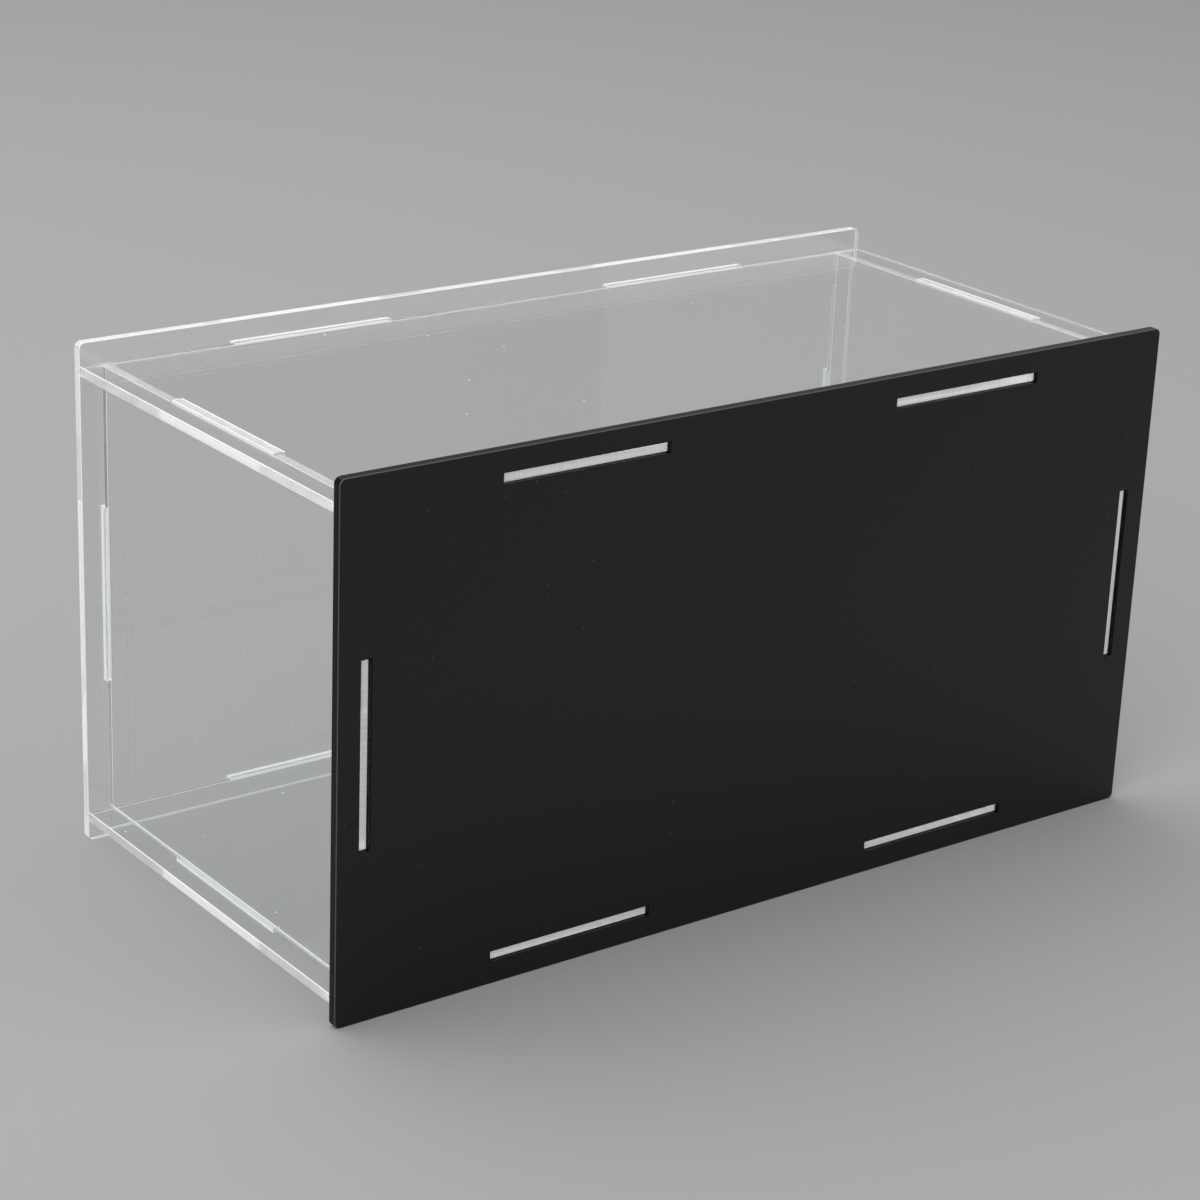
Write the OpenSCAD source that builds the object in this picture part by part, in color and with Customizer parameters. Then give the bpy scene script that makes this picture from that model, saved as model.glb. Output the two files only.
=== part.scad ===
// Flat-pack display case of six interlocking acrylic sheets.
// Two panels with slots, one black and one clear, hold four clear walls by their tabs.
// X runs along the width, Y from the black panel to the rear panel, Z up.
// The origin is under the middle of the case, on the surface that it stands on.

/* [Case] */
// Width of the black and rear panels, and length of the top and bottom walls
panel_w = 300; // [260:5:450]
// Height of the black and rear panels
panel_h = 160; // [120:5:260]
// Depth of the case over the outer faces of its two panels
case_d = 147; // [100:1:240]

/* [Sheet] */
// Thickness of every sheet
sheet_t = 3; // [2:0.5:5]
// Radius of the panels' corners
corner_r = 2; // [1:0.5:6]
// Rim of each panel that stands out past the top and bottom walls
rim = 7; // [5:0.5:15]
// Rim of each panel, and of the top and bottom walls, that stands out past the end walls
end_rim = 7.5; // [5:0.5:15]

/* [Tabs and slots] */
// Length of every tab
tab_len = 56; // [30:0.5:65]
// Distance from the middle to the centre of each tab on the long edges
tab_reach = 70; // [45:1:90]
// How far the tabs in the panels stop short of the panels' outer faces
tab_recess = 1.4; // [0:0.1:1.5]
// Clearance between a tab and its slot, on every side
slot_gap = 0.1; // [0.05:0.05:0.3]

/* [Hidden] */
$fn = 48;

black = [0.02, 0.02, 0.02];
clear = [0.92, 0.94, 0.95, 0.35];

// Room between the two panels, and between the top and bottom walls
inner_d = case_d - 2 * sheet_t;
inner_h = panel_h - 2 * (rim + sheet_t);

// Middle planes of the sheets, from the middle of the case
panel_y = (case_d - sheet_t) / 2;
wall_z = (panel_h - sheet_t) / 2 - rim;
end_x = (panel_w - sheet_t) / 2 - end_rim;

// Span of a wall from the end of a tab in one panel to the end of its tab in the other
wall_span_d = case_d - 2 * tab_recess;
// Span of an end wall from the end of its upper tab to the end of its lower one
end_span_h = inner_h + 2 * sheet_t;

// A sheet's outline, cut from stock and centred on its middle plane
module cut_sheet() {
    linear_extrude(sheet_t, center = true) children();
}

// Rectangle with round corners
module round_rect(w, h, r) {
    square([w - 2 * r, h], center = true);
    square([w, h - 2 * r], center = true);
    for (x = [-1, 1], y = [-1, 1])
        translate([x * (w / 2 - r), y * (h / 2 - r)]) circle(r);
}

// Slot for a tab that lies along the first axis
module slot() {
    square([tab_len + 2 * slot_gap, sheet_t + 2 * slot_gap], center = true);
}

// Outline of a panel: two slots along each long edge and one at each end
module panel_outline() {
    difference() {
        round_rect(panel_w, panel_h, corner_r);
        for (x = [-tab_reach, tab_reach], z = [-wall_z, wall_z])
            translate([x, z]) slot();
        for (x = [-end_x, end_x])
            translate([x, 0]) rotate(90) slot();
    }
}

// Outline of the top or bottom wall: two tabs on each long edge and a slot near each end
module long_wall_outline() {
    difference() {
        union() {
            square([panel_w, inner_d], center = true);
            for (x = [-tab_reach, tab_reach])
                translate([x, 0]) square([tab_len, wall_span_d], center = true);
        }
        for (x = [-end_x, end_x])
            translate([x, 0]) rotate(90) slot();
    }
}

// Outline of an end wall: one tab on each of its four edges
module end_wall_outline() {
    square([inner_d, inner_h], center = true);
    square([wall_span_d, tab_len], center = true);
    square([tab_len, end_span_h], center = true);
}

// A panel stands upright across the case, its middle at the given depth
module panel(y) {
    translate([0, y, panel_h / 2]) rotate([90, 0, 0]) cut_sheet() panel_outline();
}

// A long wall lies flat, its middle plane at the given height from the middle of the case
module long_wall(z) {
    translate([0, 0, panel_h / 2 + z]) cut_sheet() long_wall_outline();
}

// An end wall stands upright along the depth, its middle plane at the given width
module end_wall(x) {
    translate([x, 0, panel_h / 2]) rotate([90, 0, 90]) cut_sheet() end_wall_outline();
}

module black_panel() {
    color(black) panel(-panel_y);
}

module rear_panel() {
    color(clear) panel(panel_y);
}

module top_wall() {
    color(clear) long_wall(wall_z);
}

module bottom_wall() {
    color(clear) long_wall(-wall_z);
}

module left_end_wall() {
    color(clear) end_wall(-end_x);
}

module right_end_wall() {
    color(clear) end_wall(end_x);
}

black_panel();
rear_panel();
top_wall();
bottom_wall();
left_end_wall();
right_end_wall();
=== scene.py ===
import math

import bmesh
import bpy
from mathutils import Matrix, Vector


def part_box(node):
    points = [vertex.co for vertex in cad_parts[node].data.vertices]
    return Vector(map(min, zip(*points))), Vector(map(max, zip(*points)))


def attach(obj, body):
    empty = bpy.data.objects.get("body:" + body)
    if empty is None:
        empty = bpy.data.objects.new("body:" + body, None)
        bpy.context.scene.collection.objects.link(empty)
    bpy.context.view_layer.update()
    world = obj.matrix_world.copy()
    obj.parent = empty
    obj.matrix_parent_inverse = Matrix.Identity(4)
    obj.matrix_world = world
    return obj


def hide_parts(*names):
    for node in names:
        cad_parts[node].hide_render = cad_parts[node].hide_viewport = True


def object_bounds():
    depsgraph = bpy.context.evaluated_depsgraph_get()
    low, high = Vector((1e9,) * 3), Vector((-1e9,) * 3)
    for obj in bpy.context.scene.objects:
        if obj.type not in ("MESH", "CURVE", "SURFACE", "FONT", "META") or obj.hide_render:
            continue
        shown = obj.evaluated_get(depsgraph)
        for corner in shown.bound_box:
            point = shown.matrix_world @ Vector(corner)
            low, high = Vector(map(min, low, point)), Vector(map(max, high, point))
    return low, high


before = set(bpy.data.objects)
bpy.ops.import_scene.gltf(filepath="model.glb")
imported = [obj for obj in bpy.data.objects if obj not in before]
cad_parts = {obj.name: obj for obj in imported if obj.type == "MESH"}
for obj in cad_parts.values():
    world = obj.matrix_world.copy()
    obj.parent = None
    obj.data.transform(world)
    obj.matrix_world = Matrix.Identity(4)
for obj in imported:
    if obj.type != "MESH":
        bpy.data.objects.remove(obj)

# Sizes are in metres. The case is six acrylic sheets: each is rebuilt here from its CAD outline
# with rounded arrises, polished faces and laser-cut edges.
MM = 0.001
AXES = range(3)
CAD_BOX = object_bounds()

# Sheet shape. The air gap keeps the cut edges of a clear sheet from touching its neighbours.
ARRIS_R = 0.22 * MM
ARRIS_STEPS = 3
AIR_GAP = 0.02 * MM
SHARP_TURN = math.radians(30)

# Reading a CAD outline: points closer than this are one, a face is flat across the thickness
# when its normal reaches this far along it, and a smaller turn than this is a straight run
SAME_POINT = 1e-6
FACING = 0.9
STRAIGHT_TURN = 1e-3

# Places of a sheet's materials in its list
POLISH, EDGE, ARRIS, SLOT_SIDE = range(4)

# Camera, as the photograph was taken
PHOTO_PX = 1200
FOCAL_PX = 3153.5
SENSOR_MM = 36
CAMERA_PLACE = Vector((-0.56032, -0.72994, 0.41905))
CAMERA_HEADING = math.radians(37.071)
CAMERA_PITCH = math.radians(-20.561)
CAMERA_ROLL = math.radians(2.343)

# Stage and light
FLOOR_SIZE = 16.0
FLOOR_COLOUR = (0.38, 0.38, 0.384, 1)
FLOOR_ROUGHNESS = 0.9
WORLD_COLOUR = (0.98, 0.99, 1.0, 1)
WORLD_STRENGTH = 0.4
SOFTBOXES = {
    "overhead": {"place_m": Vector((-0.3, 0.7, 2.1)), "width": 2.4, "height": 2.4, "watts": 31},
    "key": {"place_m": Vector((3.6, -4.6, 2.48)), "width": 7.2, "height": 4.0, "watts": 96},
    "fill": {"place_m": Vector((-3.0, -1.6, 1.72)), "width": 2.6, "height": 2.2, "watts": 74},
}

# Light is followed through many clear surfaces and along the inside of the sheets
BOUNCES = 160
PASS_THROUGH_BOUNCES = 64

# Clear acrylic. Haze is the share of white on a cut surface: partly frost, and partly a painted glow
# that stands in for light piped along the sheets and out at their cut edges, arrises and slot sides.
# The shades are what is left of the light that comes straight through a face or a cut edge.
ACRYLIC_IOR = 1.49
CLEAR_TINT = (0.99, 0.993, 0.993, 1)
FACE_SHADE = (0.96, 0.965, 0.965, 1)
EDGE_SHADE = (0.9, 0.91, 0.915, 1)
EDGE_FROST_AND_GLOW = (0.96, 0.965, 0.97, 1)
EDGE_HAZE_AND_GLOW = 0.38
ARRIS_HAZE_AND_GLOW = 0.9
SLOT_HAZE_AND_GLOW = 0.95
CLEAR_EDGE_ROUGHNESS = (0.02, 0.06)

# Black acrylic. A pair of roughnesses is the lowest and the highest.
BLACK = (0.003, 0.003, 0.0033, 1)
BLACK_FACE_GLOSS = 0.4
BLACK_FACE_ROUGHNESS = (0.035, 0.13)
BLACK_EDGE = {"colour": BLACK, "gloss": 0.12, "roughness": (0.14, 0.28)}
# The arris is coloured lighter than the black sheet: a painted highlight line along it, over its gloss
BLACK_ARRIS_PAINTED_HIGHLIGHT = {"colour": (0.06, 0.06, 0.061, 1), "gloss": 0.6, "roughness": (0.3, 0.4)}

# Lines that the laser leaves on a cut edge
STRIAE_PER_M = 2400.0
STRIAE_STRETCH = 25
STRIAE_NOISE = (0.35, 0.65)
# How far the laser's lines move the share of white frost and painted glow
STRIAE_HAZE_AND_GLOW = 0.03
CLEAR_STRIAE = {"Strength": 0.035, "Distance": 0.02 * MM}
BLACK_STRIAE = {"Strength": 0.3, "Distance": 0.05 * MM}

# Dust and scuffs on the polished faces
DUST = (0.12, 0.12, 0.118, 1)
DUST_ROUGHNESS = 0.8
DUST_CLEARNESS = 0.35
SPECK_CORE = 0.5
CLEAR_DUST = {"per_metre": 260, "radius": 0.14, "share": 0.06}
BLACK_DUST = {"per_metre": 400, "radius": 0.13, "share": 0.08}
SCUFF_NOISE = (0.62, 0.8)
CLEAR_SCUFFS_PER_M = (60, 240, 240)
CLEAR_SCUFF_ROUGHNESS = 0.015
BLACK_SCUFFS_PER_M = (80, 260, 30)


def outline_loops(node, axis):
    """The closed loops of a sheet's outline, as lists of points across its thickness axis."""
    mesh = bmesh.new()
    mesh.from_mesh(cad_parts[node].data)
    bmesh.ops.remove_doubles(mesh, verts=mesh.verts, dist=SAME_POINT)
    mesh.normal_update()
    top = [face for face in mesh.faces if face.normal[axis] > FACING]
    inside = set(top)
    follow = {}
    for face in top:
        for loop in face.loops:
            if not any(other in inside and other is not face for other in loop.edge.link_faces):
                follow[loop.vert] = loop.link_loop_next.vert
    loops = []
    while follow:
        start, step = follow.popitem()
        points = [start.co.copy()]
        while step is not start:
            points.append(step.co.copy())
            step = follow.pop(step)
        loops.append(points)
    mesh.free()
    return [drop_straight(points) for points in loops]


def drop_straight(points):
    """Leaves out the points that lie on a straight run."""
    kept = []
    for i, here in enumerate(points):
        before = (here - points[i - 1]).normalized()
        after = (points[(i + 1) % len(points)] - here).normalized()
        if before.angle(after) > STRAIGHT_TURN:
            kept.append(here)
    return kept


def side_normals(points, up):
    """For each side of a loop that runs with the sheet on its left, the direction out of the sheet."""
    count = len(points)
    return [(points[(i + 1) % count] - points[i]).normalized().cross(up) for i in range(count)]


def moved_in(points, normals, distance):
    """The loop with each side moved into the sheet by a distance."""
    moved = []
    for i, here in enumerate(points):
        both = normals[i - 1] + normals[i]
        moved.append(here - both * (distance / (1 + normals[i - 1].dot(normals[i]))))
    return moved


def arris_profile(half):
    """Steps from one polished face to the other: depth into the sheet and height over its middle."""
    turns = [i * math.pi / 2 / ARRIS_STEPS for i in range(ARRIS_STEPS + 1)]
    corner = [(ARRIS_R * (1 - math.sin(t)), half - ARRIS_R * (1 - math.cos(t))) for t in turns]
    return corner + [(depth, -height) for depth, height in reversed(corner)]


def reach(points):
    """How far a loop's points lie from its first one."""
    return max((point - points[0]).length for point in points)


def add_rings(mesh, points, normals, axis, middle, profile):
    """One ring of vertices round a loop for each step of the arris profile."""
    rings = []
    for depth, height in profile:
        ring = moved_in(points, normals, AIR_GAP + depth)
        for point in ring:
            point[axis] = middle + height
        rings.append([mesh.verts.new(point) for point in ring])
    return rings


def ring_edges(mesh, ring):
    """The edges round a ring of vertices."""
    return [mesh.edges.get(pair) for pair in zip(ring, ring[1:] + ring[:1])]


def add_sides(mesh, rings, normals, flat, curved):
    """The sides round a loop: material flat on the cut, and material curved on its two arrises."""
    count = len(normals)
    for level, (upper, lower) in enumerate(zip(rings, rings[1:])):
        for i in range(count):
            j = (i + 1) % count
            side = mesh.faces.new((upper[i], lower[i], lower[j], upper[j]))
            side.material_index = flat if level == ARRIS_STEPS else curved
            side.smooth = True
            turn = normals[i].angle(normals[j])
            mesh.edges.get((upper[j], lower[j])).smooth = turn < SHARP_TURN
    for level in (0, ARRIS_STEPS, ARRIS_STEPS + 1, len(rings) - 1):
        for edge in ring_edges(mesh, rings[level]):
            edge.smooth = False


def add_polished_face(mesh, rims, normal):
    """A flat face between the edges of its rims."""
    filled = bmesh.ops.triangle_fill(mesh, edges=rims, use_beauty=True, normal=normal)
    for face in filled["geom"]:
        if isinstance(face, bmesh.types.BMFace):
            face.material_index = POLISH
            face.smooth = False


def make_sheet(node, body, slot, polish, edges, arrises, slot_sides):
    """A sheet that stands for its CAD node: polished faces, cut edges and slots, and rounded arrises.

    All but the faces have one material for each direction that the sheet's thickness can take.
    """
    low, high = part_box(node)
    size = high - low
    axis = min(AXES, key=lambda i: size[i])
    up = Vector([float(i == axis) for i in AXES])
    middle = (low[axis] + high[axis]) / 2
    profile = arris_profile(size[axis] / 2)
    loops = outline_loops(node, axis)
    outside = max(loops, key=reach)
    mesh = bmesh.new()
    upper_rims = []
    lower_rims = []
    for points in loops:
        normals = side_normals(points, up)
        rings = add_rings(mesh, points, normals, axis, middle, profile)
        flat, curved = (EDGE, ARRIS) if points is outside else (SLOT_SIDE, SLOT_SIDE)
        add_sides(mesh, rings, normals, flat, curved)
        upper_rims += ring_edges(mesh, rings[0])
        lower_rims += ring_edges(mesh, rings[-1])
    add_polished_face(mesh, upper_rims, up)
    add_polished_face(mesh, lower_rims, -up)
    bmesh.ops.recalc_face_normals(mesh, faces=mesh.faces)
    data = bpy.data.meshes.new(node + "_sheet")
    mesh.to_mesh(data)
    mesh.free()
    piece = bpy.data.objects.new(node + "_sheet", data)
    bpy.context.scene.collection.objects.link(piece)
    for material in (polish, edges[axis], arrises[axis], slot_sides[axis]):
        data.materials.append(material)
    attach(piece, body)
    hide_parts(node)


class Nodes:
    """A short way to build a material's node tree."""

    def __init__(self, name):
        self.material = bpy.data.materials.new(name)
        self.material.use_nodes = True
        self.tree = self.material.node_tree
        self.tree.nodes.clear()

    def add(self, kind, inputs=None, **settings):
        """A node with its settings, and with its inputs linked or set."""
        node = self.tree.nodes.new("ShaderNode" + kind)
        for key, value in settings.items():
            setattr(node, key, value)
        for key, value in (inputs or {}).items():
            if isinstance(value, bpy.types.NodeSocket):
                self.tree.links.new(value, node.inputs[key])
            else:
                node.inputs[key].default_value = value
        return node

    def ramp(self, value, start, end, low=0.0, high=1.0):
        """Goes from low to high while the value goes from start to end."""
        limits = {"From Min": start, "From Max": end, "To Min": low, "To Max": high}
        return self.add("MapRange", {"Value": value, **limits}).outputs["Result"]

    def between(self, share, low, high):
        """Goes from low, where the share is 0, to high, where it is 1."""
        return self.ramp(share, 0.0, 1.0, low, high)

    def math(self, operation, first, second):
        return self.add("Math", {0: first, 1: second}, operation=operation).outputs[0]

    def surface(self, shader):
        """The finished material."""
        self.add("OutputMaterial", {"Surface": shader})
        return self.material


def place(nodes, scale):
    """Object coordinates, stretched by a scale for each axis."""
    here = nodes.add("TexCoord").outputs["Object"]
    return nodes.add("Mapping", {"Vector": here, "Scale": scale}).outputs["Vector"]


def dust_specks(nodes, per_metre, radius, share):
    """Sparse round specks of mixed sizes: 1 on a speck and 0 elsewhere.

    share is how many of the cells hold a speck, and radius is the largest speck's, in cells.
    """
    where = place(nodes, (per_metre, per_metre, per_metre))
    cells = nodes.add("TexVoronoi", {"Vector": where, "Scale": 1.0, "Randomness": 1.0})
    chance = nodes.add("SeparateColor", {"Color": cells.outputs["Color"]}).outputs
    near = nodes.math("DIVIDE", cells.outputs["Distance"], chance[1])
    spot = nodes.ramp(near, radius, radius * SPECK_CORE)
    chosen = nodes.math("LESS_THAN", chance[0], share)
    return nodes.math("MULTIPLY", spot, chosen)


def scuffs(nodes, scale):
    """Faint rubbed hairlines: a noise stretched along one direction."""
    where = place(nodes, scale)
    noise = nodes.add("TexNoise", {"Vector": where, "Scale": 1.0, "Detail": 4.0, "Roughness": 0.6})
    return nodes.ramp(noise.outputs["Fac"], *SCUFF_NOISE)


def striations(nodes, axis):
    """Fine lines that a laser leaves across a cut edge, from face to face."""
    scale = [STRIAE_PER_M for _ in AXES]
    scale[axis] = STRIAE_PER_M / STRIAE_STRETCH
    where = place(nodes, scale)
    noise = nodes.add("TexNoise", {"Vector": where, "Scale": 1.0, "Detail": 1.0})
    return nodes.ramp(noise.outputs["Fac"], *STRIAE_NOISE)


def lets_light_through(nodes, shader, shade):
    """Light for matt surfaces behind the clear sheet comes straight through it, a little dimmed."""
    through = nodes.add("BsdfTransparent", {"Color": shade}).outputs[0]
    path = nodes.add("LightPath").outputs
    from_lamps = nodes.add("MixShader", {0: path["Is Shadow Ray"], 1: shader.outputs[0], 2: through})
    from_all = nodes.add("MixShader", {0: path["Is Diffuse Ray"], 1: from_lamps.outputs[0], 2: through})
    return from_all.outputs[0]


def clear_face():
    """A polished clear face with dust and faint scuffs."""
    nodes = Nodes("clear_acrylic_face")
    dust = dust_specks(nodes, **CLEAR_DUST)
    rubbed = scuffs(nodes, CLEAR_SCUFFS_PER_M)
    rubbed_roughness = nodes.math("MULTIPLY", rubbed, CLEAR_SCUFF_ROUGHNESS)
    dust_roughness = nodes.math("MULTIPLY", dust, DUST_ROUGHNESS)
    shader = nodes.add("BsdfPrincipled", {
        "Base Color": CLEAR_TINT,
        "IOR": ACRYLIC_IOR,
        "Roughness": nodes.math("MAXIMUM", rubbed_roughness, dust_roughness),
        "Transmission Weight": nodes.between(dust, 1.0, DUST_CLEARNESS),
    })
    return nodes.surface(lets_light_through(nodes, shader, FACE_SHADE))


def clear_edge(name, axis, haze_and_glow):
    """A cut edge: clear acrylic under the laser's lines, mixed with a white that is partly frost and
    partly a painted glow for light piped along the sheet. The last argument is that white's share.
    """
    nodes = Nodes("clear_acrylic_" + name + "_" + "xyz"[axis])
    lines = striations(nodes, axis)
    bump = nodes.add("Bump", {"Height": lines, **CLEAR_STRIAE})
    glass = nodes.add("BsdfPrincipled", {
        "Base Color": CLEAR_TINT,
        "IOR": ACRYLIC_IOR,
        "Roughness": nodes.between(lines, *CLEAR_EDGE_ROUGHNESS),
        "Transmission Weight": 1.0,
        "Normal": bump.outputs["Normal"],
    })
    # White frost, and a painted glow that stands in for light piped along the sheet and out at this cut
    frost_and_glow = nodes.add("BsdfDiffuse", {"Color": EDGE_FROST_AND_GLOW})
    share = nodes.between(lines, haze_and_glow - STRIAE_HAZE_AND_GLOW, haze_and_glow + STRIAE_HAZE_AND_GLOW)
    cut = nodes.add("MixShader", {0: share, 1: glass.outputs[0], 2: frost_and_glow.outputs[0]})
    return nodes.surface(lets_light_through(nodes, cut, EDGE_SHADE))


def black_face():
    """A polished black face with dust and faint scuffs."""
    nodes = Nodes("black_acrylic_face")
    dust = dust_specks(nodes, **BLACK_DUST)
    rubbed = scuffs(nodes, BLACK_SCUFFS_PER_M)
    rubbed_roughness = nodes.between(rubbed, *BLACK_FACE_ROUGHNESS)
    dust_roughness = nodes.math("MULTIPLY", dust, DUST_ROUGHNESS)
    colour = nodes.add("Mix", {0: dust, "A": BLACK, "B": DUST}, data_type="RGBA")
    shader = nodes.add("BsdfPrincipled", {
        "Base Color": colour.outputs["Result"],
        "IOR": ACRYLIC_IOR,
        "Specular IOR Level": BLACK_FACE_GLOSS,
        "Roughness": nodes.math("MAXIMUM", rubbed_roughness, dust_roughness),
    })
    return nodes.surface(shader.outputs[0])


def black_edge(name, axis, colour, gloss, roughness):
    """A cut edge or an arris, under the laser's lines. The arris's lighter colour is a painted highlight
    line.
    """
    nodes = Nodes("black_acrylic_" + name + "_" + "xyz"[axis])
    lines = striations(nodes, axis)
    bump = nodes.add("Bump", {"Height": lines, **BLACK_STRIAE})
    shader = nodes.add("BsdfPrincipled", {
        "Base Color": colour,
        "IOR": ACRYLIC_IOR,
        "Specular IOR Level": gloss,
        "Roughness": nodes.between(lines, *roughness),
        "Normal": bump.outputs["Normal"],
    })
    return nodes.surface(shader.outputs[0])


def make_camera():
    data = bpy.data.cameras.new("camera")
    data.sensor_width = SENSOR_MM
    data.lens = FOCAL_PX * SENSOR_MM / PHOTO_PX
    camera = bpy.data.objects.new("camera", data)
    bpy.context.scene.collection.objects.link(camera)
    turn = Matrix.Rotation(-CAMERA_HEADING, 4, "Z")
    nod = Matrix.Rotation(math.pi / 2 + CAMERA_PITCH, 4, "X")
    roll = Matrix.Rotation(CAMERA_ROLL, 4, "Z")
    camera.matrix_world = Matrix.Translation(CAMERA_PLACE) @ turn @ nod @ roll
    bpy.context.scene.camera = camera


def make_floor():
    nodes = Nodes("floor")
    shader = nodes.add("BsdfPrincipled", {"Base Color": FLOOR_COLOUR, "Roughness": FLOOR_ROUGHNESS})
    material = nodes.surface(shader.outputs[0])
    mesh = bmesh.new()
    bmesh.ops.create_grid(mesh, x_segments=1, y_segments=1, size=FLOOR_SIZE / 2)
    data = bpy.data.meshes.new("floor")
    mesh.to_mesh(data)
    mesh.free()
    data.materials.append(material)
    floor = bpy.data.objects.new("floor", data)
    floor.location.z = CAD_BOX[0].z
    bpy.context.scene.collection.objects.link(floor)


def make_world():
    world = bpy.data.worlds.new("studio")
    bpy.context.scene.world = world
    world.use_nodes = True
    background = world.node_tree.nodes["Background"]
    background.inputs["Color"].default_value = WORLD_COLOUR
    background.inputs["Strength"].default_value = WORLD_STRENGTH


def make_softbox(name, place_m, width, height, watts):
    """A soft rectangular lamp that faces the middle of the case."""
    data = bpy.data.lights.new(name, "AREA")
    data.shape = "RECTANGLE"
    data.size = width
    data.size_y = height
    data.energy = watts
    lamp = bpy.data.objects.new(name, data)
    lamp.location = place_m
    aim = (CAD_BOX[0] + CAD_BOX[1]) / 2
    lamp.rotation_euler = (aim - lamp.location).to_track_quat("-Z", "Y").to_euler()
    bpy.context.scene.collection.objects.link(lamp)


def set_render():
    scene = bpy.context.scene
    scene.view_settings.view_transform = "Standard"
    scene.cycles.max_bounces = BOUNCES
    scene.cycles.transmission_bounces = BOUNCES
    scene.cycles.glossy_bounces = BOUNCES
    scene.cycles.transparent_max_bounces = PASS_THROUGH_BOUNCES
    scene.cycles.caustics_refractive = False
    scene.cycles.caustics_reflective = False


make_camera()
make_floor()
make_world()
for name, settings in SOFTBOXES.items():
    make_softbox(name, **settings)
set_render()

clear_edges = [clear_edge("edge", axis, EDGE_HAZE_AND_GLOW) for axis in AXES]
clear_arrises = [clear_edge("arris", axis, ARRIS_HAZE_AND_GLOW) for axis in AXES]
clear_slots = [clear_edge("slot", axis, SLOT_HAZE_AND_GLOW) for axis in AXES]
black_edges = [black_edge("edge", axis, **BLACK_EDGE) for axis in AXES]
black_arrises_painted_highlight = [black_edge("arris", axis, **BLACK_ARRIS_PAINTED_HIGHLIGHT) for axis in AXES]
clear_finish = (clear_face(), clear_edges, clear_arrises, clear_slots)
black_finish = (black_face(), black_edges, black_arrises_painted_highlight, black_edges)
make_sheet("black_panel", "black_base", "black_acrylic", *black_finish)
make_sheet("rear_panel", "rear_cover", "clear_acrylic", *clear_finish)
for node in ("top_wall", "bottom_wall", "left_end_wall", "right_end_wall"):
    make_sheet(node, "walls", "clear_acrylic", *clear_finish)
